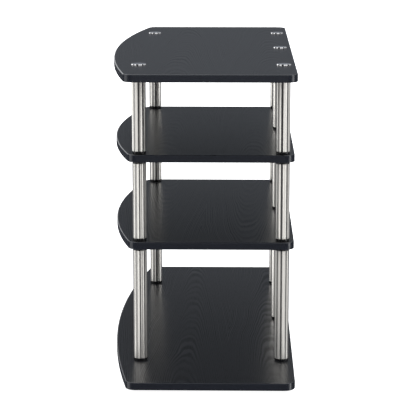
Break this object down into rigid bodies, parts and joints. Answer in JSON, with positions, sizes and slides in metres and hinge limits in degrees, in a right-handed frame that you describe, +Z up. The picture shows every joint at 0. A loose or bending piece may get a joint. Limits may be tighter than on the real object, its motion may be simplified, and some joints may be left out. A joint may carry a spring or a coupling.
{
  "type": "tv stand",
  "caption": "Open TV stand with bow-fronted black wood-grain shelves on polished steel tubes; the middle shelves are shorter, and round steel caps sit over the posts.",
  "frame": {"origin": "on the floor under the middle of the stand: the bottom centre of its box", "axes": "+X along the stand's length to its right end as seen from the front, +Y from the bowed front to the straight back, +Z up"},
  "size_m": [1.067, 0.4, 0.6715],
  "materials": {
    "black_laminate": "semi-gloss black wood-grain laminate on board",
    "black_edge_band": "satin black plastic edge band",
    "polished_steel": "polished stainless steel",
    "zinc_steel": "zinc-plated steel hardware",
    "black_plastic": "moulded black plastic"
  },
  "bodies": {
    "root": {"bottom_shelf_board": "black_laminate", "bottom_shelf_edge_band": "black_edge_band", "lower_shelf_board": "black_laminate", "lower_shelf_edge_band": "black_edge_band", "upper_shelf_board": "black_laminate", "upper_shelf_edge_band": "black_edge_band", "top_shelf_board": "black_laminate", "top_shelf_edge_band": "black_edge_band", "lower_tube_front_left": "polished_steel", "lower_tube_front_right": "polished_steel", "lower_tube_rear_left": "polished_steel", "lower_tube_rear_centre": "polished_steel", "lower_tube_rear_right": "polished_steel", "lower_tube_base_plugs": "black_plastic", "lower_tube_head_plugs": "black_plastic", "lower_tube_plug_nuts": "zinc_steel", "middle_tube_front_left": "polished_steel", "middle_tube_front_right": "polished_steel", "middle_tube_rear_left": "polished_steel", "middle_tube_rear_centre": "polished_steel", "middle_tube_rear_right": "polished_steel", "middle_tube_base_plugs": "black_plastic", "middle_tube_head_plugs": "black_plastic", "middle_tube_plug_nuts": "zinc_steel", "upper_tube_front_left": "polished_steel", "upper_tube_front_right": "polished_steel", "upper_tube_rear_left": "polished_steel", "upper_tube_rear_centre": "polished_steel", "upper_tube_rear_right": "polished_steel", "upper_tube_base_plugs": "black_plastic", "upper_tube_head_plugs": "black_plastic", "upper_tube_plug_nuts": "zinc_steel", "lower_shelf_studs": "zinc_steel", "upper_shelf_studs": "zinc_steel", "cap_screws": "polished_steel", "feet": "black_plastic", "foot_bolts": "zinc_steel"}
  },
  "joints": []
}
